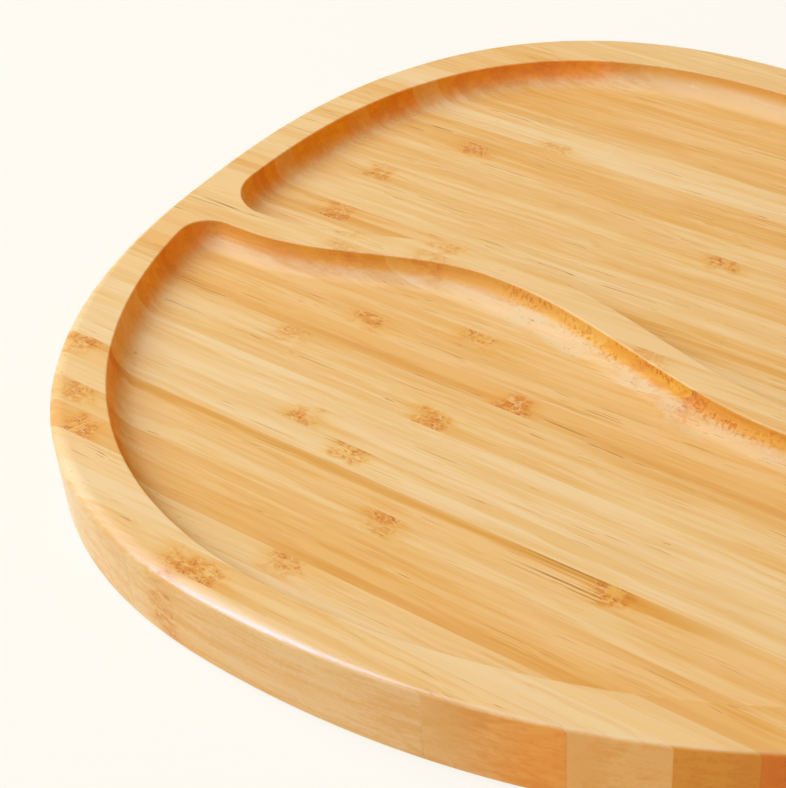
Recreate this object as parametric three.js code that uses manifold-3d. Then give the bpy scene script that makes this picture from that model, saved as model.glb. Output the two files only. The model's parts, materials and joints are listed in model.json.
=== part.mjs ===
// Divided bamboo tray, millimetres, +Z up.
// A panel of upright bamboo strips, glued face to face, is cut to an egg-shaped outline.
// Two coved recesses are routed into its top, with a wavy divider left standing between them.
// X runs along the strips, Y across them. The origin is the centre of the underside's bounding box.

import * as THREE from 'three';
import { mergeVertices } from 'three/addons/utils/BufferGeometryUtils.js';
import ManifoldModule from 'manifold-3d';

// Strips: one joint lies along the middle, so an odd count leaves half a strip at each side
const STRIPS_ACROSS = 35;
const GLUE_LINE = 0.1;

// Outline, with both ends measured from the widest line across the tray
const TRAY_WIDTH = 245;
const BLUNT_END = 110.4;
const NARROW_END = 168;
const BLUNT_SQUARENESS = 2.41;
const NARROW_SQUARENESS = 2;
const THICKNESS = 20.4;
const TOP_ARRIS = 2.4;
const FOOT_ARRIS = 1;

// Recesses: side is 1 beyond the divider and -1 in front of it
const FAR_RECESS = {
  side: 1,
  rimAtEnds: 9.5,
  rimAtSide: 12.2,
  bluntSquareness: 2.46,
  narrowSquareness: 2,
  cornerRadius: 13,
};
const NEAR_RECESS = {
  side: -1,
  rimAtEnds: 7.7,
  rimAtSide: 10,
  bluntSquareness: 2.17,
  narrowSquareness: 1.92,
  cornerRadius: 9.5,
};
const RECESS_DEPTH = 6.8;
const COVE_RADIUS = 5.5;
const MOUTH_ARRIS = 0.8;

// Divider: the turns of its middle line, from the widest line and from the tray's middle
const DIVIDER_WIDTH = 7.2;
const DIVIDER_TURNS = [
  { along: -86, across: -11.9 },
  { along: -21, across: 3.1 },
  { along: 68, across: -13.2 },
  { along: 150, across: 1.6 },
];

// Faceting
const OUTLINE_POINTS = 96;
const ARRIS_STEPS = 2;
const COVE_STEPS = 4;
const FACET_ERROR = 0.2;
const FIRST_SPLITS = 16;
const SMALLEST_SHARE = 1 / 1024;

// Spine inside each recess that its outline is drawn from, as shares of half the tray's width
const SPINE_SHARE = 0.42;
const NARROW_SPINE_SHARE = 0.6;

// Tones of the strips, counted from the front: honey where no list names them
const PALE = { color: '#eec68c', strips: [3, 9, 10, 11, 21, 28, 34, 35] };
const AMBER = { color: '#e8ad6a', strips: [6, 15, 16, 20, 26, 27, 30, 31, 32] };
const DEEP = { color: '#df9d57', strips: [5, 8, 14, 19] };
const HONEY_COLOR = '#ecba7b';
const LACQUER_ROUGHNESS = 0.42;

const HALF_WIDTH = TRAY_WIDTH / 2;
const STRIP_PITCH = TRAY_WIDTH / STRIPS_ACROSS;
const FLOOR_HEIGHT = THICKNESS - RECESS_DEPTH;

const wasm = await ManifoldModule();
wasm.setup();

// Point of the egg outline whose outward normal has the given angle, moved in by the inset
function eggPoint(angle, inset) {
  const c = Math.cos(angle);
  const s = Math.sin(angle);
  const end = c < 0 ? BLUNT_END : NARROW_END;
  const power = c < 0 ? BLUNT_SQUARENESS : NARROW_SQUARENESS;
  const u = Math.abs(end * c);
  const v = Math.abs(HALF_WIDTH * s);
  const conjugate = power / (power - 1);
  const scale = Math.pow(Math.pow(u, conjugate) + Math.pow(v, conjugate), -1 / power);
  const x = Math.sign(c) * end * Math.pow(u, conjugate - 1) * scale;
  const y = Math.sign(s) * HALF_WIDTH * Math.pow(v, conjugate - 1) * scale;
  return new THREE.Vector2(x - c * inset, y - s * inset);
}

// Distance outside the egg that a recess shares its rim with, negative inside it
function rimDistance(x, y, recess) {
  const end = (x < 0 ? BLUNT_END : NARROW_END) - recess.rimAtEnds;
  const across = HALF_WIDTH - recess.rimAtSide;
  const power = x < 0 ? recess.bluntSquareness : recess.narrowSquareness;
  const u = Math.abs(x) / end;
  const v = Math.abs(y) / across;
  const level = Math.pow(Math.pow(u, power) + Math.pow(v, power), 1 / power);
  const slopeX = Math.pow(u / level, power - 1) / end;
  const slopeY = Math.pow(v / level, power - 1) / across;
  return (level - 1) / Math.hypot(slopeX, slopeY);
}

// Middle line of the divider: half a cosine wave from each turn to the next, level past the last
function dividerLine(x) {
  const last = DIVIDER_TURNS.length - 2;
  const next = DIVIDER_TURNS.findIndex((turn) => turn.along > x);
  const index = next < 0 ? last : THREE.MathUtils.clamp(next - 1, 0, last);
  const from = DIVIDER_TURNS[index];
  const to = DIVIDER_TURNS[index + 1];
  const span = to.along - from.along;
  const rise = to.across - from.across;
  const share = THREE.MathUtils.clamp((x - from.along) / span, 0, 1);
  const y = from.across + (rise * (1 - Math.cos(Math.PI * share))) / 2;
  const slope = (rise * Math.PI * Math.sin(Math.PI * share)) / (2 * span);
  return { y, slope };
}

// Distance outside one recess at the tray's top, with the corners between rim and divider rounded
function recessDistance(x, y, recess) {
  const line = dividerLine(x);
  const toDivider = DIVIDER_WIDTH / 2 - (recess.side * (y - line.y)) / Math.hypot(1, line.slope);
  const a = toDivider + recess.cornerRadius;
  const b = rimDistance(x, y, recess) + recess.cornerRadius;
  const rounded = Math.hypot(Math.max(a, 0), Math.max(b, 0));
  return Math.min(Math.max(a, b), 0) + rounded - recess.cornerRadius;
}

// Closed solid through rings of points: a list of {ring, z} from one end to the other
function loft(levels) {
  const count = levels[0].ring.length;
  const positions = [];
  const triangles = [];
  for (const { ring, z } of levels) {
    for (const point of ring) {
      positions.push(point.x, point.y, z);
    }
  }
  for (let level = 0; level + 1 < levels.length; level += 1) {
    for (let i = 0; i < count; i += 1) {
      const a = level * count + i;
      const b = level * count + ((i + 1) % count);
      triangles.push(a, b, b + count, a, b + count, a + count);
    }
  }
  const lastStart = (levels.length - 1) * count;
  const bottom = THREE.ShapeUtils.triangulateShape(levels[0].ring, []);
  const top = THREE.ShapeUtils.triangulateShape(levels[levels.length - 1].ring, []);
  for (const [a, b, c] of bottom) {
    triangles.push(a, c, b);
  }
  for (const [a, b, c] of top) {
    triangles.push(lastStart + a, lastStart + b, lastStart + c);
  }
  const geometry = new THREE.BufferGeometry();
  geometry.setAttribute('position', new THREE.Float32BufferAttribute(positions, 3));
  geometry.setIndex(triangles);
  return geometry;
}

function toSolid(geometry) {
  const bare = geometry.clone();
  bare.deleteAttribute('normal');
  bare.deleteAttribute('uv');
  const merged = mergeVertices(bare);
  const mesh = new wasm.Mesh({
    numProp: 3,
    vertProperties: new Float32Array(merged.attributes.position.array),
    triVerts: new Uint32Array(merged.index.array),
  });
  return new wasm.Manifold(mesh);
}

function toGeometry(solid) {
  const mesh = solid.getMesh();
  const geometry = new THREE.BufferGeometry();
  geometry.setAttribute('position', new THREE.Float32BufferAttribute(mesh.vertProperties, mesh.numProp));
  geometry.setIndex(Array.from(mesh.triVerts));
  geometry.computeVertexNormals();
  return geometry;
}

// Panel cut to the outline, with its foot and top edges rounded over
function makePanel() {
  const steps = Array.from({ length: ARRIS_STEPS + 1 }, (_, i) => ((Math.PI / 2) * i) / ARRIS_STEPS);
  const foot = steps.map((turn) => ({
    inset: FOOT_ARRIS * (1 - Math.sin(turn)),
    z: FOOT_ARRIS * (1 - Math.cos(turn)),
  }));
  const top = steps.map((turn) => ({
    inset: TOP_ARRIS * (1 - Math.cos(turn)),
    z: THICKNESS - TOP_ARRIS * (1 - Math.sin(turn)),
  }));
  const angles = Array.from({ length: OUTLINE_POINTS }, (_, i) => (2 * Math.PI * i) / OUTLINE_POINTS);
  const levels = [...foot, ...top].map(({ inset, z }) => ({
    ring: angles.map((angle) => eggPoint(angle, inset)),
    z,
  }));
  return loft(levels);
}

// Rays that go once round a recess, from a spine inside it: share 0 to 1 counter-clockwise
function makeRays(recess) {
  const reach = SPINE_SHARE * HALF_WIDTH;
  const left = reach - BLUNT_END;
  const right = NARROW_END - NARROW_SPINE_SHARE * HALF_WIDTH;
  const height = recess.side * reach;
  return (share) => {
    const quarter = Math.floor(share * 4);
    const part = share * 4 - quarter;
    const origin = new THREE.Vector2(right, height);
    let angle = Math.PI * (part - 0.5);
    if (quarter === 1) {
      origin.x = THREE.MathUtils.lerp(right, left, part);
      angle = Math.PI / 2;
    } else if (quarter === 2) {
      origin.x = left;
      angle = Math.PI * (part + 0.5);
    } else if (quarter === 3) {
      origin.x = THREE.MathUtils.lerp(left, right, part);
      angle = -Math.PI / 2;
    }
    return { origin, direction: new THREE.Vector2(Math.cos(angle), Math.sin(angle)) };
  };
}

// Point on a ray where the recess has been moved in by the inset
function pointOnRay(ray, inset, recess) {
  let near = 0;
  let far = BLUNT_END + NARROW_END;
  let middle = (near + far) / 2;
  while (middle > near && middle < far) {
    const point = ray.origin.clone().addScaledVector(ray.direction, middle);
    const outside = recessDistance(point.x, point.y, recess) + inset > 0;
    if (outside) {
      far = middle;
    } else {
      near = middle;
    }
    middle = (near + far) / 2;
  }
  return ray.origin.clone().addScaledVector(ray.direction, near);
}

// Shares round the recess, close enough together that no facet misses the mouth by more than the error
function chooseShares(rays, recess) {
  const at = (share) => pointOnRay(rays(share % 1), 0, recess);
  const shares = [];
  const split = (a, b) => {
    const start = at(a);
    const chord = at(b).sub(start);
    const offset = at((a + b) / 2).sub(start);
    const miss = Math.abs(chord.cross(offset)) / chord.length();
    if (miss > FACET_ERROR && b - a > SMALLEST_SHARE) {
      split(a, (a + b) / 2);
      split((a + b) / 2, b);
    } else {
      shares.push(a);
    }
  };
  for (let i = 0; i < FIRST_SPLITS; i += 1) {
    split(i / FIRST_SPLITS, (i + 1) / FIRST_SPLITS);
  }
  return shares;
}

// Solid that is cut away for one recess: coved foot, short upright wall, eased mouth
function makeRecess(recess) {
  const rays = makeRays(recess);
  const chosen = chooseShares(rays, recess).map(rays);
  const profile = [];
  for (let i = 0; i <= COVE_STEPS; i += 1) {
    const turn = ((Math.PI / 2) * i) / COVE_STEPS;
    profile.push({
      inset: MOUTH_ARRIS + COVE_RADIUS * (1 - Math.sin(turn)),
      z: FLOOR_HEIGHT + COVE_RADIUS * (1 - Math.cos(turn)),
    });
  }
  for (let i = 0; i <= ARRIS_STEPS; i += 1) {
    const turn = ((Math.PI / 2) * i) / ARRIS_STEPS;
    profile.push({
      inset: MOUTH_ARRIS * Math.cos(turn),
      z: THICKNESS - MOUTH_ARRIS * (1 - Math.sin(turn)),
    });
  }
  profile.push({ inset: 0, z: THICKNESS + TOP_ARRIS });
  const levels = profile.map(({ inset, z }) => ({
    ring: chosen.map((ray) => pointOnRay(ray, inset, recess)),
    z,
  }));
  return loft(levels);
}

// Lacquered bamboo in the tone of one strip
function makeBamboo(number) {
  const tone = [PALE, AMBER, DEEP].find(({ strips }) => strips.includes(number));
  const color = tone ? tone.color : HONEY_COLOR;
  return new THREE.MeshStandardMaterial({ color, roughness: LACQUER_ROUGHNESS, metalness: 0 });
}

// Upright slab that takes one strip out of the panel
function makeStripSlab(from, to) {
  const slab = new THREE.BoxGeometry(2 * (BLUNT_END + NARROW_END), to - from, 3 * THICKNESS);
  slab.translate(0, (from + to) / 2, 0);
  return slab;
}

function makeStrips() {
  const tray = toSolid(makePanel())
    .subtract(toSolid(makeRecess(FAR_RECESS)))
    .subtract(toSolid(makeRecess(NEAR_RECESS)));
  const perSide = Math.ceil(STRIPS_ACROSS / 2);
  const strips = [];
  for (let seam = -perSide; seam < perSide; seam += 1) {
    const from = seam === -perSide ? -TRAY_WIDTH : seam * STRIP_PITCH + GLUE_LINE / 2;
    const to = seam === perSide - 1 ? TRAY_WIDTH : (seam + 1) * STRIP_PITCH - GLUE_LINE / 2;
    const solid = tray.intersect(toSolid(makeStripSlab(from, to)));
    const number = strips.length + 1;
    const strip = new THREE.Mesh(toGeometry(solid), makeBamboo(number));
    strip.name = `bamboo_strip_${String(number).padStart(2, '0')}`;
    strips.push(strip);
  }
  return strips;
}

const tray = new THREE.Group();
tray.name = 'divided_bamboo_tray';
tray.position.x = (BLUNT_END - NARROW_END) / 2;
tray.add(...makeStrips());

export default tray;
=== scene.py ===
# Divided bamboo tray: the finished surface of its glued strips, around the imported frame.
# The shapes are worked out in millimetres from the widest line across the tray, as in the part's source.

import json
import math
import random

import bmesh
import bpy
import numpy as np
from mathutils import Matrix, Vector
from mathutils.geometry import tessellate_polygon


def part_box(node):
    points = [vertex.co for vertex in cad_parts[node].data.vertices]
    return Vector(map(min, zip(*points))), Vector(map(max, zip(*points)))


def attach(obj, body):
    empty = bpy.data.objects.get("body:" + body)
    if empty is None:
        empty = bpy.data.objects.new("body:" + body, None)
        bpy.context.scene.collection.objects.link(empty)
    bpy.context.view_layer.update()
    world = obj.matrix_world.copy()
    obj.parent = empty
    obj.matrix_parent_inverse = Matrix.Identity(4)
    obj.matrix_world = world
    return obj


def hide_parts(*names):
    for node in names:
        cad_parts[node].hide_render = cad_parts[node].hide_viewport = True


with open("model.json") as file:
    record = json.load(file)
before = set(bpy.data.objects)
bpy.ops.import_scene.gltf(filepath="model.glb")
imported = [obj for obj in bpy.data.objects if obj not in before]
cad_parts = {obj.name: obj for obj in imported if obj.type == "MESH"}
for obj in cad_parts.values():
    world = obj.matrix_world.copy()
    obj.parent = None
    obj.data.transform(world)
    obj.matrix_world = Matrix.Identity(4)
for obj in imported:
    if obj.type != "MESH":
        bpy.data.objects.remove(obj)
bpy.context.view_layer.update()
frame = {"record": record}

MM = 0.001

# Outline, with both ends measured from the widest line across the tray
TRAY_WIDTH = 245
BLUNT_END = 110.4
NARROW_END = 168
BLUNT_SQUARENESS = 2.41
NARROW_SQUARENESS = 2
THICKNESS = 20.4
FOOT_ARRIS = 1
HALF_WIDTH = TRAY_WIDTH / 2
SHIFT_ALONG = (BLUNT_END - NARROW_END) / 2

# Rounding of the top edge, in and down: wider on the front of the blunt end, by where the side faces
BLUNT_ARRIS = (3.6, 2.2)
NARROW_ARRIS = (1.1, 1.1)
ARRIS_ALONG = (0.17, -0.10)
ARRIS_ACROSS = (0.1, -0.6)

# Recesses: side is 1 beyond the divider and -1 in front of it. A wall that faces less and less towards
# the narrow end, and so more towards the key light, turns from burnt painted shade to golden painted
# light between the two values given for it, and holds the share given after them of the painted tint.
FAR_RECESS = {
    "side": 1,
    "rim_at_ends": 9.5,
    "rim_at_side": 12.2,
    "blunt_squareness": 2.46,
    "narrow_squareness": 2,
    "corner_radius": 13,
    "lit_gold": (0.45, 0.30),
    "lit_gold_share": 0.72,
}
NEAR_RECESS = {
    "side": -1,
    "rim_at_ends": 7.7,
    "rim_at_side": 10,
    "blunt_squareness": 2.17,
    "narrow_squareness": 1.92,
    "corner_radius": 9.5,
    "lit_gold": (0.8, 0.4),
    "lit_gold_share": 1,
}
RECESS_DEPTH = 6.8
COVE_RADIUS = 5.5
MOUTH_ARRIS = 0.5
FLOOR_HEIGHT = THICKNESS - RECESS_DEPTH

# Divider: the turns of its middle line, along from the widest line and across from the tray's middle
DIVIDER_WIDTH = 7.2
DIVIDER_TURNS = [(-86, -11.9), (-21, 3.1), (68, -13.2), (150, 1.6)]

# Torn fibres: how fast they grow where a wall turns against the grain, and their reach onto the floor
TORN_GAIN = 9
TORN_REACH = 1.5

# Deeper orange of the cut sides, partly painted shade: walls that face the narrow end, away from the key
# light, between these take it lower down, and the outside takes more and more of it between two places
# along the tray, and this share of the outside's tint is the golden one
DEEPLY_SHADED = (0.6, 1.0)
DEEPENS_ALONG = (12, 80)
OUTER_GOLD = 0.5

# Fineness of the finished surface
OUTLINE_POINTS = 480
MOUTH_POINTS = 560
DENSE_POINTS = 4000
COVE_STEPS = 14
TOP_ARRIS_STEPS = 8
SMALL_ARRIS_STEPS = 5
BISECTIONS = 50
GRADIENT_STEP = 0.001
CUT_TOLERANCE = 0.0001

# Spine inside each recess that its outline is drawn from, as shares of half the tray's width
SPINE_SHARE = 0.42
NARROW_SPINE_SHARE = 0.6

# Colours of each tone, as linear light: the soft inner bamboo, the dense fibres, and the outer skin
TONES = {
    "bamboo_pale": ((0.83, 0.625, 0.34), (0.79, 0.52, 0.215), (0.73, 0.43, 0.115)),
    "bamboo_honey": ((0.82, 0.58, 0.28), (0.765, 0.46, 0.15), (0.71, 0.385, 0.08)),
    "bamboo_amber": ((0.805, 0.525, 0.215), (0.745, 0.41, 0.105), (0.69, 0.35, 0.06)),
    "bamboo_deep": ((0.785, 0.465, 0.155), (0.715, 0.365, 0.075), (0.665, 0.31, 0.045)),
}
HAIR_COLOUR = (0.42, 0.19, 0.02)
GLINT_COLOUR = (0.86, 0.65, 0.34)
WINDOW_COLOUR = (0.78, 0.45, 0.09)
# Pale foot of the torn fibres, partly painted sheen
TORN_AND_SHEEN_COLOUR = (0.76, 0.58, 0.32)

# Strips of a lighter tone than their slot's, and strips that are a shade darker or lighter than theirs
LIGHTER_TONES = {8: "bamboo_amber", 19: "bamboo_honey"}
SHADES = {
    3: -0.3, 4: -0.2, 5: -0.2, 6: -0.1, 7: -0.1, 8: -0.25, 14: -0.5, 15: -0.4, 16: -0.2, 17: 0.1,
    18: -0.4, 19: -0.15, 20: -0.2, 21: 0.4, 22: 0.1, 23: 0.1, 24: 0.1, 25: 0.1, 26: 0.1, 28: -0.2,
    29: -0.1, 30: 0.1, 32: 0.2, 33: 0.3, 34: 0.8, 35: 0.6,
}

# How strongly a strip's dense skin shows along one joint: above 0 on its far side, below 0 on its near
SKINS = {
    2: -0.6, 4: 0.4, 5: -0.5, 8: 1.0, 13: 0.6, 14: -0.6, 15: 0.35, 19: 0.8, 20: -0.8, 27: -0.8, 29: 0.8,
}
WEAK_SKIN = 0.35

# Tints, by which the strip's own colour is multiplied: streaks that lean towards yellow, and knuckles
GOLD_TINT = (0.98, 0.99, 0.82)
KNUCKLE_TINT = (0.97, 0.83, 0.46)
CORE_TINT = (0.87, 0.62, 0.27)
SPECK_TINT = (0.74, 0.44, 0.12)

# Tints of the cut sides, deeper orange than the strip's own colour. Sides that face the narrow end, away
# from the key light, are burnt orange as painted shade, and the others golden as painted light, with a
# duller foot. Some strips have a tint of their own, and pale strips take up less.
BURNT_SHADE_TINT = (1.11, 0.65, 0.03)
GOLDEN_LIGHT_TINT = (1.05, 0.76, 0.0)
GOLDEN_LIGHT_FOOT_TINT = (0.96, 0.97, 0.94)
GROOVE_TINT = (0.76, 0.46, 0.0)
DEEP_TINTS = {4: (0.84, 0.80, 0.40), 5: (0.92, 0.76, 0.22)}
NO_TINT = (1, 1, 1)
UPTAKES = {"bamboo_pale": 0.7, "bamboo_honey": 0.95, "bamboo_amber": 1.0, "bamboo_deep": 1.0}
UPTAKE_SPREAD = 0.1
SHADE_UPTAKE = 0.3

# Grain: sizes of its marks along, across and up, and their moves from one another, in millimetres
SWAY = 2.6
SWAY_SIZE = (32, 8, 8)
BROAD_SIZE = (60, 3.0, 3.0)
STREAK_SIZE = (24, 1.0, 1.0)
FIBRE_SIZE = (10, 0.4, 0.4)
PEEL_SIZE = (0.9, 0.9, 0.9)
GOLD_SIZE = (30, 1.6, 1.6)
GOLD_MOVE = (97, 41, 13)
SKIN_PATCH_SIZE = (60, 30, 30)
HAIR_SIZE = (36, 0.36, 0.36)
HAIR_PATCH_SIZE = (40, 6, 6)
HAIR_MOVE = (311, 57, 23)
PALE_HAIR_MOVE = (0, 0.3, 0.1)
JOINT_PATCH_SIZE = (25, 40, 40)
JOINT_LINE = (0.14, 0.02)
SANDED_DEPTH = (0.4, 0.1)

# Grain: how much each mark adds to the tone, which goes from 0, soft, to 1, dense
MIDDLE_TONE = 0.42
SANDED_TONE = -0.2
BROAD_TONE = 2.7
STREAK_TONE = 2.1
PEEL_TONE = 1.0
FIBRE_TONE = 0.9

# Grain: where in its noise each mark starts and is full, and the most that it covers
GOLD_LEVELS = (0.48, 0.66)
GOLD_COVER = 0.5
SKIN_PATCH_LEVELS = (0.28, 0.58)
HAIR_PATCH_LEVELS = (0.45, 0.62)
DARK_HAIR_LEVELS = (0.67, 0.74)
DARK_HAIR_COVER = 0.9
PALE_HAIR_LEVELS = (0.62, 0.74)
PALE_HAIR_COVER = 0.5
JOINT_PATCH_LEVELS = (0.45, 0.65)
JOINT_COVER = 0.2

# Grain: the dense skin across a strip, from -0.5 at the soft joint to 0.5 at the other one
SKIN_START = (0.0, 0.26)
SKIN_END = (0.32, 0.5)
SKIN_END_FADE = 0.5
SKIN_WANDER = 0.4
SANDED_SKIN_FADE = 0.35

# Grain: the rise of a surface's normal at which it counts as level, and relief and roughness
LEVEL_RISE = (0.7, 0.95)
FIBRE_HEIGHT = 0.5
STREAK_HEIGHT = 0.6
PEEL_HEIGHT = 1.2
HAIR_HEIGHT = -0.3
MIDDLE_ROUGHNESS = 0.37
FIBRE_ROUGHNESS = 0.2

# Knuckles of the bamboo: strip, place along it from the widest line, and strength
KNUCKLES = [
    (1, -25, 0.8),
    (2, -22, 0.75),
    (2, -15, 0.7),
    (4, -8, 0.7),
    (5, -69, 0.9),
    (6, -78, 0.7),
    (7, 2, 0.8),
    (8, -90, 0.8),
    (8, 55, 1.0),
    (9, -17, 0.8),
    (10, -34, 0.8),
    (12, -8, 0.9),
    (13, -55, 0.5),
    (14, 6, 0.9),
    (15, -42, 0.7),
    (16, -15, 0.9),
    (16, 39, 0.5),
    (17, -60, 0.35),
    (17, 28, 0.5),
    (18, -64, 0.6),
    (18, -38, 0.4),
    (19, -38, 0.6),
    (20, -77, 0.8),
    (23, -78, 0.7),
    (24, 21, 0.8),
    (26, -62, 0.7),
    (28, -43, 0.5),
]

# Knuckles that the photograph doesn't show: spacing, the place of a strip's first one before the tray's
# middle, where they may start along the tray, and their strength
KNUCKLE_SPACING = (150, 190)
FIRST_KNUCKLE = (60, 110)
HIDDEN_FROM = 128
HIDDEN_STRENGTH = (0.6, 0.9)

# Knuckles: sizes of their marks along, across and up, in millimetres
KNUCKLE_WANDER = 6.0
KNUCKLE_WANDER_SIZE = (6, 2, 2)
COVER_SIZE = (9, 3, 3)
CORE_SIZE = (3.2, 1.6, 1.6)
SPECK_SIZE = (1.3, 0.7, 0.7)
CURL_SIZE = (1.6, 3.2, 3.2)
TAIL_SIZE = (40, 1.3, 1.3)
SPLIT_SIZE = (90, 0.6, 0.6)

# Knuckles: how far from the middle each mark starts and is full. Those of the tail and of the splits,
# which lie on the other side, are measured along the tail.
PATCH_REACH = (9.0, 3.0)
CORE_REACH = (5.4, 2.0)
SPECK_REACH = (5.8, 2.2)
CURL_REACH = (6.0, 2.6)
WINDOW_REACH = (3.0, 1.2)
TAIL_START = (-3, 0)
TAIL_END = (22, 3)
SPLITS_START = (-1, -2.5)
SPLITS_END = (-30, -8)

# Knuckles: where across the strip each mark starts and is full
COVER_WANDER = 1.6
COVER_PLACE = (-0.6, 0.0)
SPECK_PLACE = (-0.3, 0.15)
WINDOW_START = (0.0, 0.2)
WINDOW_END = (0.49, 0.44)

# Knuckles: where in its noise each mark starts and is full, and the most that it covers
TAIL_LEVELS = (0.38, 0.58)
TAIL_COVER = 0.85
CORE_LEVELS = (0.40, 0.56)
SPECK_LEVELS = (0.53, 0.64)
SPECK_COVER = 0.9
CURL_LEVELS = (0.045, 0.0)
CURL_COVER = 0.5
SPLIT_LEVELS = (0.53, 0.59)
SPLIT_COVER = 0.9
RIDGE_LEVELS = (0.47, 0.41)
RIDGE_COVER = 0.5
WINDOW_COVER = 0.8

# Knuckles: the strength that splits the bamboo, and the depth of the marks
SPLIT_STRENGTH = (0.95, 1.0)
DENT_HEIGHT = -0.5

# Cut sides: sizes of the torn fibres' marks along, across and up, in millimetres
FUZZ_SIZE = (2.2, 0.8, 0.8)
TORN_PATCH_SIZE = (12, 6, 6)
GROOVE_SIZE = (0.8, 0.5, 1.6)
TORN_HAIR_SIZE = (2.4, 2.4, 2.4)

# Cut sides: the height over the floor at which the torn foot, pale and partly painted sheen, starts and
# is full, and how far it frays
FOOT_RISE = (2.6, 1.6)
FRAY = 5.0

# Cut sides: the cut share at which each tint, of painted shade or painted light, or the roughness,
# starts and is full
STAIN_AND_SHADE_FROM = (0.2, 0.95)
GOLDEN_LIGHT_FROM = (0.5, 0.85)
GOLDEN_LIGHT_FOOT_FROM = (0.05, 0.4)
ROUGH_FROM = (0.0, 0.2)

# Cut sides: where in its noise each mark starts and is full, and the most that it covers
FOOT_LEVELS = (0.42, 0.58)
FOOT_COVER = 0.7
TORN_HAIR_LEVELS = (0.03, 0.0)
TORN_HAIR_COVER = 0.7
TORN_HAIR_FUZZ = (0.5, 0.6)
GOUGED_LEVELS = (0.58, 0.45)
GROOVE_LEVELS = (0.51, 0.59)
GROOVE_COVER = 0.85

# Cut sides: relief and added roughness
FUZZ_HEIGHT = 3.0
GROOVE_HEIGHT = -1.5
FOOT_ROUGHNESS = 0.15
CUT_ROUGHNESS = 0.35

# Lacquer over all of it
BUMP_STRENGTH = 0.25
BUMP_DEPTH = 0.12
LACQUER_IOR = 1.48
LACQUER_SPECULAR = 0.35

# Seeded chance, and how far it moves each strip's grain
SEED = 700
SEED_SPREAD = 400

# Photograph's frame and the camera that sees it, in pixels and radians
IMAGE_HEIGHT = 788
FOCAL_PIXELS = 1851.9
CAMERA_PLACE = (0.15682, -0.30125, 0.28679)
CAMERA_PITCH = 0.6914
CAMERA_TURN = -0.6746
CAMERA_ROLL = -0.0864
SENSOR = 36

# Light
KEY_TURN = math.radians(206)
KEY_HEIGHT = math.radians(45)
LIGHT_DISTANCE = 2.2
KEY_SIZE = (2.0, 2.0)
KEY_POWER = 49
KEY_COLOUR = (0.80, 0.98, 1.12)
KICKER_TURN = math.radians(234)
KICKER_HEIGHT = math.radians(42)
KICKER_SIZE = (0.5, 2.4)
KICKER_POWER = 155
KICKER_COLOUR = (0.36, 0.50, 1.15)
AMBIENT = 0.57
AMBIENT_COLOUR = (1.0, 0.67, 0.39)
FLOOR_SIZE = 6
FLOOR_DROP = 0.0002
FLOOR_COLOUR = (0.88, 0.80, 0.70)
BACKDROP_COLOUR = (1.0, 0.993, 0.93)
FLOOR_GLOW = 0.82


# Shape of the tray

def egg_ring(angles, inset):
    """Points of the outline whose outward normals have these angles, moved in by the inset."""
    c = np.cos(angles)
    s = np.sin(angles)
    end = np.where(c < 0, BLUNT_END, NARROW_END)
    power = np.where(c < 0, BLUNT_SQUARENESS, NARROW_SQUARENESS)
    u = np.abs(end * c)
    v = np.abs(HALF_WIDTH * s)
    conjugate = power / (power - 1)
    scale = (u**conjugate + v**conjugate) ** (-1 / power)
    x = np.sign(c) * end * u ** (conjugate - 1) * scale
    y = np.sign(s) * HALF_WIDTH * v ** (conjugate - 1) * scale
    return np.stack([x - c * inset, y - s * inset], 1)


def rim_distance(x, y, recess):
    """Distance outside the egg that a recess shares its rim with, negative inside it."""
    end = np.where(x < 0, BLUNT_END, NARROW_END) - recess["rim_at_ends"]
    across = HALF_WIDTH - recess["rim_at_side"]
    power = np.where(x < 0, recess["blunt_squareness"], recess["narrow_squareness"])
    u = np.abs(x) / end
    v = np.abs(y) / across
    level = (u**power + v**power) ** (1 / power)
    slope_x = (u / level) ** (power - 1) / end
    slope_y = (v / level) ** (power - 1) / across
    return (level - 1) / np.hypot(slope_x, slope_y)


def divider_line(x):
    """Middle line of the divider and its slope: half a cosine wave from each turn to the next."""
    y = np.full_like(x, DIVIDER_TURNS[0][1])
    slope = np.zeros_like(x)
    for (from_x, from_y), (to_x, to_y) in zip(DIVIDER_TURNS[:-1], DIVIDER_TURNS[1:]):
        span = to_x - from_x
        share = np.clip((x - from_x) / span, 0, 1)
        y += (to_y - from_y) * (1 - np.cos(np.pi * share)) / 2
        slope += (to_y - from_y) * np.pi * np.sin(np.pi * share) / (2 * span)
    return y, slope


def recess_distance(points, recess):
    """Distance outside one recess at the tray's top, with the corners at the divider's ends rounded."""
    x, y = points.T
    line, slope = divider_line(x)
    radius = recess["corner_radius"]
    a = DIVIDER_WIDTH / 2 - recess["side"] * (y - line) / np.hypot(1, slope) + radius
    b = rim_distance(x, y, recess) + radius
    rounded = np.hypot(np.maximum(a, 0), np.maximum(b, 0))
    return np.minimum(np.maximum(a, b), 0) + rounded - radius


def inward(points, recess):
    """Level directions that point into the recess."""
    steps = np.eye(2) * GRADIENT_STEP
    change = [recess_distance(points + s, recess) - recess_distance(points - s, recess) for s in steps]
    gradient = np.stack(change, 1)
    return -gradient / np.linalg.norm(gradient, axis=1, keepdims=True)


def recess_rays(shares, recess):
    """Rays that go once round a recess from a spine inside it: share 0 to 1 counter-clockwise."""
    reach = SPINE_SHARE * HALF_WIDTH
    left = reach - BLUNT_END
    right = NARROW_END - NARROW_SPINE_SHARE * HALF_WIDTH
    quarter = np.floor(shares * 4)
    part = shares * 4 - quarter
    quarters = [quarter == 0, quarter == 1, quarter == 2]
    there = right + (left - right) * part
    back = left + (right - left) * part
    along = np.select(quarters, [right, there, left], back)
    angle = np.pi * np.select(quarters, [part - 0.5, 0.5, part + 0.5], -0.5)
    origins = np.stack([along, np.full_like(along, recess["side"] * reach)], 1)
    return origins, np.stack([np.cos(angle), np.sin(angle)], 1)


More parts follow.
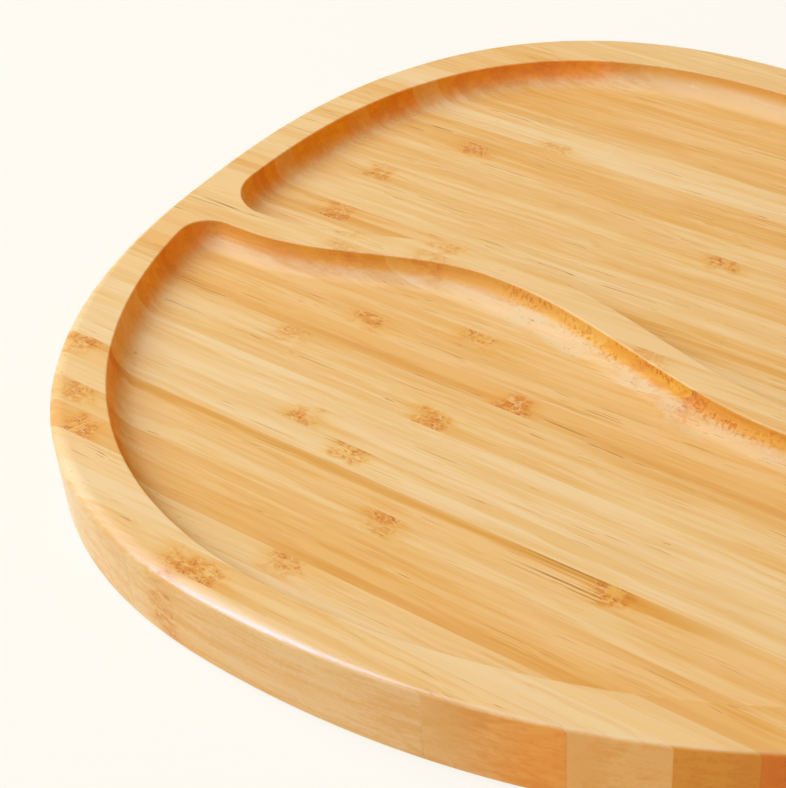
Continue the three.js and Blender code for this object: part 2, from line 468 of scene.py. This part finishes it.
def recess_ring(rays, inset, recess):
    """Points on the rays where the recess has been moved in by the inset."""
    origins, directions = rays
    near = np.zeros(len(origins))
    far = np.full(len(origins), BLUNT_END + NARROW_END)
    for _ in range(BISECTIONS):
        middle = (near + far) / 2
        outside = recess_distance(origins + directions * middle[:, None], recess) + inset > 0
        far = np.where(outside, middle, far)
        near = np.where(outside, near, middle)
    return origins + directions * near[:, None]


def even_rays(recess):
    """Rays whose points lie at even steps round the mouth."""
    shares = np.linspace(0, 1, DENSE_POINTS, endpoint=False)
    mouth = recess_ring(recess_rays(shares, recess), 0, recess)
    steps = np.linalg.norm(np.roll(mouth, -1, 0) - mouth, axis=1)
    walked = np.concatenate([[0], np.cumsum(steps)])
    wanted = np.linspace(0, walked[-1], MOUTH_POINTS, endpoint=False)
    return recess_rays(np.interp(wanted, walked, np.append(shares, 1)), recess)


def quarter_turn(steps):
    return [math.pi / 2 * i / steps for i in range(steps + 1)]


def smooth_step(value, low, high):
    share = np.clip((value - low) / (high - low), 0, 1)
    return share**2 * (3 - 2 * share)


def make_ring(points, height, level, rise):
    """One ring of the surface: its points, and normals of the given rise that lean the level way."""
    rise = np.zeros(len(points)) + rise
    tilt = np.sqrt(np.clip(1 - rise**2, 0, 1))
    places = np.column_stack([points, np.zeros(len(points)) + height])
    normals = np.column_stack([level * tilt[:, None], rise])
    return places, normals


def torn_share(level):
    """How far the cutter tore the fibres: most on front walls that it met against the grain."""
    return np.clip(TORN_GAIN * level[:, 0] * np.minimum(level[:, 1], 0), 0, 1)


def outer_cuts(places, normals):
    """How far the outside is torn, deepened (partly painted shade) and golden, along one of its rings.
    """
    steepness = 1 - normals[:, 2] ** 2
    none = np.zeros(len(places))
    stain_and_shade = steepness * smooth_step(places[:, 0], *DEEPENS_ALONG)
    return np.column_stack([none, stain_and_shade, none + OUTER_GOLD])


def outer_rings():
    """Rings of the tray's outside, from the underside up over the top edge: places, normals and cuts."""
    angles = np.arange(OUTLINE_POINTS) * 2 * math.pi / OUTLINE_POINTS
    outward = np.stack([np.cos(angles), np.sin(angles)], 1)
    blunt = smooth_step(outward[:, 0], *ARRIS_ALONG) * smooth_step(outward[:, 1], *ARRIS_ACROSS)
    reach, drop = [narrow + (wide - narrow) * blunt for narrow, wide in zip(NARROW_ARRIS, BLUNT_ARRIS)]
    rings = []
    for turn in quarter_turn(SMALL_ARRIS_STEPS):
        points = egg_ring(angles, FOOT_ARRIS * (1 - math.sin(turn)))
        height = FOOT_ARRIS * (1 - math.cos(turn))
        rings.append(make_ring(points, height, outward, -math.cos(turn)))
    for turn in quarter_turn(TOP_ARRIS_STEPS):
        points = egg_ring(angles, reach * (1 - math.cos(turn)))
        height = THICKNESS - drop * (1 - math.sin(turn))
        out = math.cos(turn) / reach
        up = math.sin(turn) / drop
        rings.append(make_ring(points, height, outward, up / np.hypot(out, up)))
    return [(*ring, outer_cuts(*ring)) for ring in rings]


def recess_profile():
    """Inset, height, normal's rise, torn share and stain-and-shade share, from floor up to mouth."""
    foot = MOUTH_ARRIS + COVE_RADIUS
    profile = [(foot + TORN_REACH, FLOOR_HEIGHT, 1, 0, 0)]
    for turn in quarter_turn(COVE_STEPS):
        c = math.cos(turn)
        s = math.sin(turn)
        profile.append((foot - COVE_RADIUS * s, FLOOR_HEIGHT + COVE_RADIUS * (1 - c), c, 1, s))
    for turn in quarter_turn(SMALL_ARRIS_STEPS):
        c = math.cos(turn)
        s = math.sin(turn)
        torn = 0 if turn else 1
        profile.append((MOUTH_ARRIS * c, THICKNESS - MOUTH_ARRIS * (1 - s), s, torn, max(c, 0)))
    return profile


def recess_rings(recess):
    """Rings of one recess, from its floor up over the eased mouth: places, normals and cuts."""
    rays = even_rays(recess)
    rings = []
    for inset, height, rise, torn, stain_and_shade in recess_profile():
        points = recess_ring(rays, inset, recess)
        level = inward(points, recess)
        # Golden painted light on walls facing the key, painted shade lower down on walls facing away
        lit_gold = smooth_step(level[:, 0], *recess["lit_gold"])
        steepness = 2 - smooth_step(level[:, 0], *DEEPLY_SHADED)
        tint_share = 1 + (recess["lit_gold_share"] - 1) * lit_gold
        cuts = np.column_stack([torn * torn_share(level), tint_share * stain_and_shade**steepness, lit_gold])
        rings.append((*make_ring(points, height, level, rise), cuts))
    return rings


# Mesh of the tray, cut into its strips

NORMAL_LAYER = "surface_normal"
CUT_LAYER = "cut"


def new_surface():
    """An empty mesh whose points also hold the surface's normal and its cut."""
    surface = bmesh.new()
    for name in (NORMAL_LAYER, CUT_LAYER):
        surface.verts.layers.float_vector.new(name)
    return surface


def point_layers(surface):
    layers = surface.verts.layers.float_vector
    return layers[NORMAL_LAYER], layers[CUT_LAYER]


def add_rings(tray, rings, routed):
    """Adds the rings' points and the bands between them. Returns the rings of points."""
    normal_layer, cut_layer = point_layers(tray)
    rows = []
    for places, normals, cuts in rings:
        row = []
        for place, normal, cut in zip(places, normals, cuts):
            point = tray.verts.new((place + (SHIFT_ALONG, 0, 0)) * MM)
            point[normal_layer] = normal
            point[cut_layer] = cut
            row.append(point)
        rows.append(row)
    count = len(rows[0])
    for below, above in zip(rows[:-1], rows[1:]):
        for i in range(count):
            j = (i + 1) % count
            band = [below[i], below[j], above[j], above[i]]
            tray.faces.new(band[::-1] if routed else band)
    return rows


def fill_flat(tray, loops, upward):
    """Fills the flat face inside the first loop and outside the others."""
    points = [point for loop in loops for point in loop]
    for triangle in tessellate_polygon([[point.co for point in loop] for loop in loops]):
        face = tray.faces.new([points[i] for i in triangle])
        face.normal_update()
        if (face.normal.z > 0) != upward:
            face.normal_flip()


def make_tray():
    """The whole tray as one closed surface."""
    tray = new_surface()
    outside = add_rings(tray, outer_rings(), routed=False)
    far = add_rings(tray, recess_rings(FAR_RECESS), routed=True)
    near = add_rings(tray, recess_rings(NEAR_RECESS), routed=True)
    fill_flat(tray, [outside[0]], upward=False)
    fill_flat(tray, [far[0]], upward=True)
    fill_flat(tray, [near[0]], upward=True)
    fill_flat(tray, [outside[-1], far[-1], near[-1]], upward=True)
    return tray


def cut_at(tray, seams):
    for seam in seams:
        everything = tray.verts[:] + tray.edges[:] + tray.faces[:]
        bmesh.ops.bisect_plane(
            tray, geom=everything, dist=CUT_TOLERANCE * MM, plane_co=(0, seam, 0), plane_no=(0, 1, 0)
        )


def take_strip(tray, faces):
    """Copies some faces of the tray into a closed strip. Returns it and its two glued sides."""
    strip = new_surface()
    layers = list(zip(point_layers(tray), point_layers(strip)))
    copies = {}
    for face in faces:
        for point in face.verts:
            if point not in copies:
                copy = strip.verts.new(point.co)
                for old, new in layers:
                    copy[new] = point[old]
                copies[point] = copy
        strip.faces.new([copies[point] for point in face.verts])
    open_edges = [edge for edge in strip.edges if len(edge.link_faces) == 1]
    sides = bmesh.ops.edgeloop_fill(strip, edges=open_edges)["faces"]
    middle = sum(point.co.y for point in strip.verts) / len(strip.verts)
    for side in sides:
        side.normal_update()
        if (side.normal.y > 0) != (side.calc_center_median().y > middle):
            side.normal_flip()
    return strip, sides


def strip_mesh(name, strip, sides):
    """Mesh of one strip, smooth over its surface and flat on its glued sides."""
    strip.faces.index_update()
    side_numbers = {side.index for side in sides}
    normal_layer, _ = point_layers(strip)
    smooth = [Vector(point[normal_layer]).normalized() for point in strip.verts]
    mesh = bpy.data.meshes.new(name)
    strip.to_mesh(mesh)
    normals = []
    for polygon in mesh.polygons:
        polygon.use_smooth = True
        flat = polygon.index in side_numbers
        normals += [polygon.normal.copy() if flat else smooth[i] for i in polygon.vertices]
    mesh.normals_split_custom_set(normals)
    mesh.attributes.remove(mesh.attributes[NORMAL_LAYER])
    return mesh


# Node trees

class Graph:
    """A node tree that is filled by short calls. Most return the new node's first output."""

    def __init__(self, tree):
        self.tree = tree

    def set(self, socket, value):
        if isinstance(value, bpy.types.NodeSocket):
            self.tree.links.new(value, socket)
        else:
            socket.default_value = value

    def node(self, kind, inputs=(), **settings):
        """A new node with some inputs set by name."""
        item = self.tree.nodes.new(kind)
        for name, value in settings.items():
            setattr(item, name, value)
        for name, value in dict(inputs).items():
            self.set(item.inputs[name], value)
        return item

    def output(self, kind, values, **settings):
        """First output of a new node whose inputs are set in their order."""
        item = self.node(kind, **settings)
        for socket, value in zip(item.inputs, values):
            self.set(socket, value)
        return item.outputs[0]

    def math(self, operation, *values, clamp=False):
        return self.output("ShaderNodeMath", values, operation=operation, use_clamp=clamp)

    def vector(self, operation, *values):
        return self.output("ShaderNodeVectorMath", values, operation=operation)

    def noise(self, place, size, detail=2.0):
        """Noise from 0 to 1 whose lumps have about this size along, across and up, in millimetres."""
        scaled = self.vector("DIVIDE", place, size)
        item = self.node("ShaderNodeTexNoise", {"Vector": scaled, "Scale": 1.0, "Detail": detail})
        return item.outputs[0]

    def centred_noise(self, place, size, detail=2.0):
        return self.math("SUBTRACT", self.noise(place, size, detail), 0.5)

    def product(self, *values):
        result = values[0]
        for value in values[1:]:
            result = self.math("MULTIPLY", result, value)
        return result

    def plus(self, value, part, amount, clamp=False):
        """The value, plus the part times the amount."""
        return self.math("MULTIPLY_ADD", part, amount, value, clamp=clamp)

    def without(self, share):
        return self.math("SUBTRACT", 1, share)

    def smooth(self, value, low, high, to=1.0):
        """A smooth step from 0 at low up to the last number at high."""
        values = (value, low, high, 0.0, to)
        return self.output("ShaderNodeMapRange", values, interpolation_type="SMOOTHSTEP")

    def mix(self, share, a, b):
        item = self.node("ShaderNodeMix", data_type="RGBA", clamp_factor=True)
        for socket, value in zip((item.inputs[0], item.inputs[6], item.inputs[7]), (share, a, b)):
            self.set(socket, value)
        return item.outputs[2]

    def tint(self, share, colour, tint):
        """The colour, multiplied by the tint as far as the share says."""
        return self.mix(share, colour, self.vector("MULTIPLY", colour, tint))

    def split(self, vector):
        return self.node("ShaderNodeSeparateXYZ", {"Vector": vector}).outputs

    def place(self):
        """Place on the tray, in millimetres."""
        place = self.node("ShaderNodeTexCoord").outputs["Object"]
        return self.vector("MULTIPLY", place, (1 / MM, 1 / MM, 1 / MM))


def opaque(colour):
    return (*colour, 1.0)


def empty_graph(owner):
    """Emptied node tree of a material or a world."""
    owner.use_nodes = True
    owner.node_tree.nodes.clear()
    return Graph(owner.node_tree)


def new_group(name, inputs, outputs):
    """An empty node group with these sockets. Returns its graph, its inputs and its output node."""
    tree = bpy.data.node_groups.new(name, "ShaderNodeTree")
    for label, kind in inputs.items():
        tree.interface.new_socket(name=label, in_out="INPUT", socket_type=f"NodeSocket{kind}")
    for label, kind in outputs.items():
        tree.interface.new_socket(name=label, in_out="OUTPUT", socket_type=f"NodeSocket{kind}")
    graph = Graph(tree)
    given = graph.node("NodeGroupInput").outputs
    result = graph.node("NodeGroupOutput").inputs
    return graph, given, result


def add_object(name, data):
    item = bpy.data.objects.new(name, data)
    bpy.context.scene.collection.objects.link(item)
    return item


# Bamboo

def make_grain_group():
    """Straight fibres along the strip, denser towards its skin, and specks where they are cut across."""
    inputs = {
        "Seed": "Vector", "Across": "Float", "Width": "Float", "Skin": "Float", "Shade": "Float",
        "Soft Colour": "Color", "Fibre Colour": "Color", "Skin Colour": "Color",
    }
    outputs = {"Colour": "Color", "Roughness": "Float", "Height": "Float"}
    g, given, result = new_group("bamboo_grain", inputs, outputs)
    place = g.place()
    seeded = g.vector("ADD", place, given["Seed"])
    sway = g.math("MULTIPLY", g.centred_noise(seeded, SWAY_SIZE), SWAY)
    offset = g.node("ShaderNodeCombineXYZ", {"Y": sway, "Z": sway}).outputs[0]
    swayed = g.vector("ADD", seeded, offset)
    broad = g.centred_noise(swayed, BROAD_SIZE)
    streak = g.centred_noise(swayed, STREAK_SIZE)
    fibre = g.centred_noise(swayed, FIBRE_SIZE, detail=1.0)

    normal = g.node("ShaderNodeNewGeometry").outputs["Normal"]
    level = g.smooth(g.math("ABSOLUTE", g.split(normal)[2]), *LEVEL_RISE)
    peel = g.product(g.centred_noise(seeded, PEEL_SIZE, detail=1.0), g.without(level))
    depth = g.math("SUBTRACT", THICKNESS, g.split(place)[2])
    sanded = g.smooth(depth, *SANDED_DEPTH)
    tone = g.math("ADD", given["Shade"], MIDDLE_TONE)
    tone = g.plus(tone, sanded, SANDED_TONE)
    tone = g.plus(tone, broad, BROAD_TONE)
    tone = g.plus(tone, streak, STREAK_TONE)
    tone = g.plus(tone, peel, PEEL_TONE)
    tone = g.plus(tone, fibre, FIBRE_TONE, clamp=True)
    colour = g.mix(tone, given["Soft Colour"], given["Fibre Colour"])
    gold = g.noise(g.vector("ADD", swayed, GOLD_MOVE), GOLD_SIZE)
    colour = g.tint(g.smooth(gold, *GOLD_LEVELS, GOLD_COVER), colour, GOLD_TINT)

    skin_place = g.plus(given["Across"], broad, SKIN_WANDER)
    skin_place = g.plus(skin_place, streak, SKIN_WANDER)
    skin_patch = g.smooth(g.noise(seeded, SKIN_PATCH_SIZE, detail=1.0), *SKIN_PATCH_LEVELS)
    skin_end = g.without(g.smooth(skin_place, *SKIN_END, SKIN_END_FADE))
    skin = g.product(g.smooth(skin_place, *SKIN_START), skin_end, given["Skin"], skin_patch)
    skin = g.product(skin, g.plus(1, sanded, -SANDED_SKIN_FADE))
    colour = g.mix(skin, colour, given["Skin Colour"])

    hair_place = g.vector("ADD", swayed, HAIR_MOVE)
    beside = g.vector("ADD", hair_place, PALE_HAIR_MOVE)
    hair_patch = g.smooth(g.noise(seeded, HAIR_PATCH_SIZE, detail=1.0), *HAIR_PATCH_LEVELS)
    hair_patch = g.product(hair_patch, level)
    dark_hair = g.smooth(g.noise(hair_place, HAIR_SIZE, detail=1.0), *DARK_HAIR_LEVELS, DARK_HAIR_COVER)
    dark_hair = g.product(dark_hair, hair_patch)
    pale_hair = g.smooth(g.noise(beside, HAIR_SIZE, detail=1.0), *PALE_HAIR_LEVELS, PALE_HAIR_COVER)
    pale_hair = g.product(pale_hair, hair_patch)
    colour = g.mix(pale_hair, colour, opaque(GLINT_COLOUR))
    colour = g.mix(dark_hair, colour, opaque(HAIR_COLOUR))

    from_joint = g.math("SUBTRACT", 0.5, g.math("ABSOLUTE", given["Across"]))
    from_joint = g.math("MULTIPLY", from_joint, given["Width"])
    joint_patch = g.smooth(g.noise(seeded, JOINT_PATCH_SIZE, detail=1.0), *JOINT_PATCH_LEVELS)
    joint = g.product(g.smooth(from_joint, *JOINT_LINE, JOINT_COVER), joint_patch)
    colour = g.mix(joint, colour, opaque(HAIR_COLOUR))

    height = g.math("MULTIPLY", dark_hair, HAIR_HEIGHT)
    height = g.plus(height, fibre, FIBRE_HEIGHT)
    height = g.plus(height, streak, STREAK_HEIGHT)
    height = g.plus(height, peel, PEEL_HEIGHT)
    g.set(result["Colour"], colour)
    g.set(result["Roughness"], g.plus(MIDDLE_ROUGHNESS, fibre, FIBRE_ROUGHNESS))
    g.set(result["Height"], height)
    return g.tree


def make_knuckle_group():
    """One knuckle on a strip: a tinted patch towards the skin with specks, pale curls and a long tail.

    The strongest kind also has splits before it and a clear window."""
    inputs = {
        "Colour": "Color", "Height": "Float", "Seed": "Vector", "Across": "Float",
        "Along": "Float", "Strength": "Float", "Tail": "Float",
    }
    outputs = {"Colour": "Color", "Height": "Float"}
    g, given, result = new_group("bamboo_knuckle", inputs, outputs)
    place = g.place()
    seeded = g.vector("ADD", place, given["Seed"])
    across = given["Across"]
    strength = given["Strength"]
    straight = g.math("SUBTRACT", g.split(place)[0], given["Along"])
    along = g.plus(straight, g.centred_noise(seeded, KNUCKLE_WANDER_SIZE), KNUCKLE_WANDER)
    away = g.math("ABSOLUTE", along)
    tailward = g.math("MULTIPLY", along, given["Tail"])
    lean = g.plus(across, g.centred_noise(seeded, COVER_SIZE), COVER_WANDER)
    cover = g.product(g.smooth(lean, *COVER_PLACE), strength)

    patch = g.product(g.smooth(away, *PATCH_REACH), cover)
    tail = g.product(g.smooth(tailward, *TAIL_END), g.smooth(tailward, *TAIL_START), cover)
    tail = g.product(tail, g.smooth(g.noise(seeded, TAIL_SIZE), *TAIL_LEVELS, TAIL_COVER))
    core = g.product(g.smooth(away, *CORE_REACH), cover)
    core = g.product(core, g.smooth(g.noise(seeded, CORE_SIZE), *CORE_LEVELS))
    specks = g.product(g.smooth(away, *SPECK_REACH), g.smooth(lean, *SPECK_PLACE), strength)
    specks = g.product(specks, g.smooth(g.noise(seeded, SPECK_SIZE), *SPECK_LEVELS, SPECK_COVER))
    curl = g.math("ABSOLUTE", g.centred_noise(seeded, CURL_SIZE, detail=1.0))
    curls = g.product(g.smooth(away, *CURL_REACH), cover, g.smooth(curl, *CURL_LEVELS, CURL_COVER))

    split = g.noise(seeded, SPLIT_SIZE, detail=1.0)
    near_splits = g.product(g.smooth(tailward, *SPLITS_END), g.smooth(tailward, *SPLITS_START), cover)
    near_splits = g.product(near_splits, g.smooth(strength, *SPLIT_STRENGTH))
    splits = g.product(near_splits, g.smooth(split, *SPLIT_LEVELS, SPLIT_COVER))
    ridges = g.product(near_splits, g.smooth(split, *RIDGE_LEVELS, RIDGE_COVER))
    window = g.smooth(g.math("ABSOLUTE", straight), *WINDOW_REACH)
    window = g.product(window, g.smooth(across, *WINDOW_START), g.smooth(across, *WINDOW_END))
    window = g.product(window, g.smooth(strength, *SPLIT_STRENGTH, WINDOW_COVER))

    colour = g.tint(g.math("MAXIMUM", patch, tail), given["Colour"], KNUCKLE_TINT)
    colour = g.tint(core, colour, CORE_TINT)
    colour = g.tint(specks, colour, SPECK_TINT)
    colour = g.mix(curls, colour, opaque(GLINT_COLOUR))
    colour = g.mix(ridges, colour, opaque(GLINT_COLOUR))
    colour = g.mix(splits, colour, opaque(HAIR_COLOUR))
    colour = g.mix(window, colour, opaque(WINDOW_COLOUR))
    dents = g.math("ADD", g.math("ADD", core, specks), splits)
    g.set(result["Colour"], colour)
    g.set(result["Height"], g.plus(given["Height"], dents, DENT_HEIGHT))
    return g.tree


def make_cut_group():
    """Cut sides: deeper orange with painted shade and painted light, and the rougher fibres that the
    cutter lifted, with a paler foot that is partly painted sheen.
    """
    inputs = {
        "Colour": "Color", "Roughness": "Float", "Height": "Float", "Seed": "Vector",
        "Uptake": "Float", "Tint": "Vector",
    }
    outputs = {"Colour": "Color", "Roughness": "Float", "Height": "Float"}
    g, given, result = new_group("bamboo_cut", inputs, outputs)
    place = g.place()
    seeded = g.vector("ADD", place, given["Seed"])
    shares = g.node("ShaderNodeAttribute", attribute_name=CUT_LAYER).outputs["Vector"]
    # The cut share sets the roughness and the painted shade and light tints
    torn, lacquer, lit_gold = g.split(shares)
    uptake = given["Uptake"]
    stain_and_shade = g.math("MULTIPLY", g.smooth(lacquer, *STAIN_AND_SHADE_FROM), uptake, clamp=True)
    fuzz = g.noise(seeded, FUZZ_SIZE, detail=3.0)
    patch = g.noise(seeded, TORN_PATCH_SIZE)
    rise = g.math("SUBTRACT", g.split(place)[2], FLOOR_HEIGHT)
    frayed = g.plus(rise, g.math("SUBTRACT", fuzz, 0.5), FRAY)
    foot = g.product(torn, g.smooth(frayed, *FOOT_RISE), g.smooth(patch, *FOOT_LEVELS))
    curl = g.math("ABSOLUTE", g.centred_noise(seeded, TORN_HAIR_SIZE, detail=1.0))
    hairs = g.product(foot, g.smooth(curl, *TORN_HAIR_LEVELS, TORN_HAIR_COVER))
    hairs = g.product(hairs, g.smooth(fuzz, *TORN_HAIR_FUZZ))
    grooves = g.smooth(g.noise(seeded, GROOVE_SIZE), *GROOVE_LEVELS, GROOVE_COVER)
    grooves = g.product(grooves, torn, stain_and_shade, g.smooth(patch, *GOUGED_LEVELS))

    # Painted shade (burnt) on sides facing away from the key; painted light (golden) on sides facing it
    lit_gilt = g.product(g.smooth(lacquer, *GOLDEN_LIGHT_FROM), uptake, lit_gold)
    colour = g.tint(g.product(stain_and_shade, g.without(lit_gold)), given["Colour"], BURNT_SHADE_TINT)
    colour = g.tint(lit_gilt, colour, GOLDEN_LIGHT_TINT)
    colour = g.tint(g.product(g.smooth(lacquer, *GOLDEN_LIGHT_FOOT_FROM), lit_gold), colour, GOLDEN_LIGHT_FOOT_TINT)
    colour = g.tint(stain_and_shade, colour, given["Tint"])
    colour = g.tint(grooves, colour, GROOVE_TINT)
    # Pale torn foot: torn fibres, partly painted sheen
    colour = g.mix(g.math("MULTIPLY", foot, FOOT_COVER), colour, opaque(TORN_AND_SHEEN_COLOUR))
    colour = g.mix(hairs, colour, opaque(HAIR_COLOUR))
    roughness = g.plus(given["Roughness"], foot, FOOT_ROUGHNESS)
    roughness = g.plus(roughness, g.smooth(lacquer, *ROUGH_FROM), CUT_ROUGHNESS)
    roughness = g.math("ADD", roughness, grooves, clamp=True)
    height = g.plus(given["Height"], g.math("MULTIPLY", torn, fuzz), FUZZ_HEIGHT)
    height = g.plus(height, grooves, GROOVE_HEIGHT)
    g.set(result["Colour"], colour)
    g.set(result["Roughness"], roughness)
    g.set(result["Height"], height)
    return g.tree


def make_bamboo(name, strip, groups):
    """Lacquered bamboo of one strip."""
    material = bpy.data.materials.new(name)
    g = empty_graph(material)
    low, high = strip["joints"]
    from_low = g.math("SUBTRACT", g.split(g.place())[1], low)
    centred = g.math("SUBTRACT", g.math("DIVIDE", from_low, high - low), 0.5)
    across = g.math("MULTIPLY", centred, math.copysign(1, strip["skin"]))
    soft, fibre, outer = TONES[strip["tone"]]
    shared = {"Seed": strip["seed"], "Across": across}
    values = shared | {
        "Width": high - low, "Skin": abs(strip["skin"]), "Shade": strip["shade"],
        "Soft Colour": opaque(soft), "Fibre Colour": opaque(fibre), "Skin Colour": opaque(outer),
    }
    colour, roughness, height = g.node("ShaderNodeGroup", values, node_tree=groups["grain"]).outputs
    for along, strength, tail in strip["knuckles"]:
        values = shared | {
            "Colour": colour, "Height": height, "Along": along, "Strength": strength, "Tail": tail,
        }
        colour, height = g.node("ShaderNodeGroup", values, node_tree=groups["knuckle"]).outputs
    values = {
        "Colour": colour, "Roughness": roughness, "Height": height, "Seed": strip["seed"],
        "Uptake": strip["uptake"], "Tint": strip["tint"],
    }
    colour, roughness, height = g.node("ShaderNodeGroup", values, node_tree=groups["cut"]).outputs
    values = {"Height": height, "Strength": BUMP_STRENGTH, "Distance": BUMP_DEPTH * MM}
    bump = g.node("ShaderNodeBump", values)
    values = {
        "Base Color": colour, "Roughness": roughness, "Normal": bump.outputs[0],
        "IOR": LACQUER_IOR, "Specular IOR Level": LACQUER_SPECULAR,
    }
    lacquer = g.node("ShaderNodeBsdfPrincipled", values)
    g.node("ShaderNodeOutputMaterial", {"Surface": lacquer.outputs[0]})
    return material


# Strips

def strip_knuckles(number, draw):
    """Place, strength and tail of a strip's knuckles, with a later one past the photograph's edge."""
    found = [(along + SHIFT_ALONG, strength) for strip, along, strength in KNUCKLES if strip == number]
    last = found[-1][0] if found else -draw.uniform(*FIRST_KNUCKLE)
    later = last + draw.uniform(*KNUCKLE_SPACING)
    if later > HIDDEN_FROM + SHIFT_ALONG:
        found.append((later, draw.uniform(*HIDDEN_STRENGTH)))
    knuckles = []
    for along, strength in found:
        tail = draw.choice((-1, 1)) if strength < 1 else 1
        knuckles.append((along, strength, tail))
    return knuckles


def strip_looks(number, slot, joints):
    """Tone, marks and wall tint, partly painted shade, of one strip between its joints, with its own
    seeded chance.
    """
    draw = random.Random(SEED + number)
    shade = SHADES.get(number, 0)
    uptake = UPTAKES[slot] + draw.uniform(-UPTAKE_SPREAD, UPTAKE_SPREAD) + SHADE_UPTAKE * shade
    return {
        "tone": LIGHTER_TONES.get(number, slot),
        "joints": joints,
        "seed": [draw.uniform(-SEED_SPREAD, SEED_SPREAD) for _ in range(3)],
        "skin": SKINS.get(number, draw.choice((-WEAK_SKIN, WEAK_SKIN))),
        "shade": shade,
        "uptake": uptake,
        "tint": DEEP_TINTS.get(number, NO_TINT),
        "knuckles": strip_knuckles(number, draw),
    }


def make_strips():
    """Cuts the tray into its strips, each with its own bamboo, in place of the frame's solids."""
    slots = {part["node"]: part["material_slot"] for part in frame["record"]["subparts"]}
    nodes = sorted(slots)
    boxes = [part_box(node) for node in nodes]
    seams = [(near[1].y + far[0].y) / 2 for near, far in zip(boxes[:-1], boxes[1:])]
    pitch = seams[1] - seams[0]
    tray = make_tray()
    cut_at(tray, seams)
    shares = [[] for _ in nodes]
    for face in tray.faces:
        shares[int(np.searchsorted(seams, face.calc_center_median().y))].append(face)
    groups = {"grain": make_grain_group(), "knuckle": make_knuckle_group(), "cut": make_cut_group()}
    for number, (node, faces) in enumerate(zip(nodes, shares), start=1):
        name = f"lacquered_strip_{number:02d}"
        strip, sides = take_strip(tray, faces)
        mesh = strip_mesh(name, strip, sides)
        strip.free()
        low = seams[0] + (number - 2) * pitch
        looks = strip_looks(number, slots[node], (low / MM, (low + pitch) / MM))
        mesh.materials.append(make_bamboo(name, looks, groups))
        piece = add_object(name, mesh)
        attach(piece, "root")
        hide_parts(node)
    tray.free()


# Stage

def seen_directly(g):
    """1 for what the camera, a reflection or a clear material sees, and 0 for light on the object."""
    path = g.node("ShaderNodeLightPath").outputs
    seen = g.math("MAXIMUM", path["Is Camera Ray"], path["Is Glossy Ray"])
    return g.math("MAXIMUM", seen, path["Is Transmission Ray"])


def make_floor():
    """Plain pale floor that keeps a soft shadow and reads as the backdrop to the camera."""
    half = FLOOR_SIZE / 2
    sides = ((-half, -half), (half, -half), (half, half), (-half, half))
    mesh = bpy.data.meshes.new("floor")
    mesh.from_pydata([(x, y, -FLOOR_DROP) for x, y in sides], [], [(0, 1, 2, 3)])
    material = bpy.data.materials.new("floor")
    g = empty_graph(material)
    matt = g.node("ShaderNodeBsdfDiffuse", {"Color": opaque(FLOOR_COLOUR)})
    glow = g.node("ShaderNodeEmission", {"Color": opaque(BACKDROP_COLOUR), "Strength": 1.0})
    share = g.math("MULTIPLY", seen_directly(g), FLOOR_GLOW)
    surface = g.output("ShaderNodeMixShader", (share, matt.outputs[0], glow.outputs[0]))
    g.node("ShaderNodeOutputMaterial", {"Surface": surface})
    mesh.materials.append(material)
    add_object("floor", mesh)


def make_world():
    """Even light all round, which the camera and reflections see as the backdrop."""
    world = bpy.data.worlds.new("studio")
    g = empty_graph(world)
    seen = seen_directly(g)
    strength = g.plus(AMBIENT, seen, 1 - AMBIENT)
    colour = g.mix(seen, opaque(AMBIENT_COLOUR), opaque(BACKDROP_COLOUR))
    light = g.node("ShaderNodeBackground", {"Color": colour, "Strength": strength})
    g.node("ShaderNodeOutputWorld", {"Surface": light.outputs[0]})
    bpy.context.scene.world = world


def make_softbox(name, turn, height, size, power, colour):
    """Rectangular lamp that faces the tray from this turn about the vertical and height."""
    light = bpy.data.lights.new(name, "AREA")
    light.shape = "RECTANGLE"
    light.size, light.size_y = size
    light.energy = power
    light.color = colour
    softbox = add_object(name, light)
    level = math.cos(height)
    direction = Vector((level * math.cos(turn), level * math.sin(turn), math.sin(height)))
    softbox.location = direction * LIGHT_DISTANCE
    softbox.rotation_euler = direction.to_track_quat("Z", "Y").to_euler()
    return softbox


def make_lights():
    """A key light, and a kicker that shows only in reflections."""
    make_softbox("key", KEY_TURN, KEY_HEIGHT, KEY_SIZE, KEY_POWER, KEY_COLOUR)
    kicker = make_softbox("kicker", KICKER_TURN, KICKER_HEIGHT, KICKER_SIZE, KICKER_POWER, KICKER_COLOUR)
    kicker.visible_diffuse = False


def make_camera():
    """Camera of the photograph: turned about the vertical, pitched down, then rolled."""
    right = Vector((math.cos(CAMERA_TURN), -math.sin(CAMERA_TURN), 0))
    ahead = Vector((math.sin(CAMERA_TURN), math.cos(CAMERA_TURN), 0))
    up = Vector((0, 0, 1))
    forward = math.cos(CAMERA_PITCH) * ahead - math.sin(CAMERA_PITCH) * up
    lifted = math.sin(CAMERA_PITCH) * ahead + math.cos(CAMERA_PITCH) * up
    c = math.cos(CAMERA_ROLL)
    s = math.sin(CAMERA_ROLL)
    columns = (c * right + s * lifted, c * lifted - s * right, -forward)
    data = bpy.data.cameras.new("camera")
    data.sensor_fit = "VERTICAL"
    data.sensor_height = SENSOR
    data.lens = FOCAL_PIXELS * SENSOR / IMAGE_HEIGHT
    camera = add_object("camera", data)
    turn = Matrix(columns).transposed().to_4x4()
    camera.matrix_world = Matrix.Translation(CAMERA_PLACE) @ turn
    bpy.context.scene.camera = camera


make_camera()
make_strips()
make_floor()
make_world()
make_lights()
bpy.context.scene.view_settings.view_transform = "Standard"
